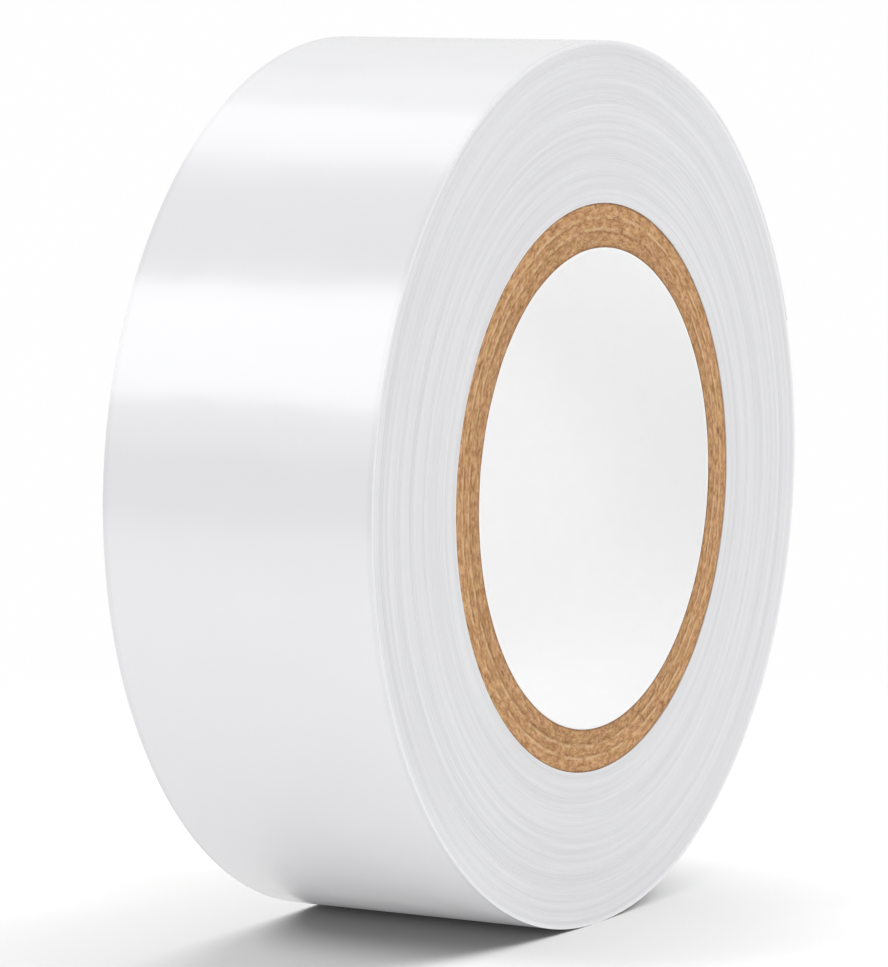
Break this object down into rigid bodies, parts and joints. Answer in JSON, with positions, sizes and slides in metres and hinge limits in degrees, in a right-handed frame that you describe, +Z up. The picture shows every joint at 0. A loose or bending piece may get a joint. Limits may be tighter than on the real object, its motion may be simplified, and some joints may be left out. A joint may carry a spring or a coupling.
{
  "type": "roll of electrical tape",
  "caption": "Roll of glossy white insulating tape wound on a kraft paper core with a white-lined bore, standing on its rim; the free end of the strip peels off the back.",
  "frame": {"origin": "on the floor, under the middle of the roll's width, where the flat foot of the rim stands", "axes": "+Y along the roll's axis, with the pictured side face at -Y; +Z up; the free end of the strip lies on the +X side"},
  "size_m": [0.0564, 0.019, 0.0559],
  "materials": {
    "white_film": "glossy white PVC film",
    "kraft_board": "raw brown kraft board, fibrous cut edge",
    "liner_paper": "smooth white paper"
  },
  "bodies": {
    "roll": {"core_liner": "liner_paper", "core_ply_inner": "kraft_board", "core_ply_middle": "kraft_board", "core_ply_outer": "kraft_board", "inner_turns": "white_film", "outer_turns": "white_film"},
    "free_end": {"tape_end": "white_film"}
  },
  "joints": [
    {"name": "tape_end_peel", "type": "hinge", "parent": "roll", "child": "free_end", "pos_m": [0.01665, 0, 0.05147], "axis": [0, -1, 0], "range_deg": [0, 120]}
  ]
}
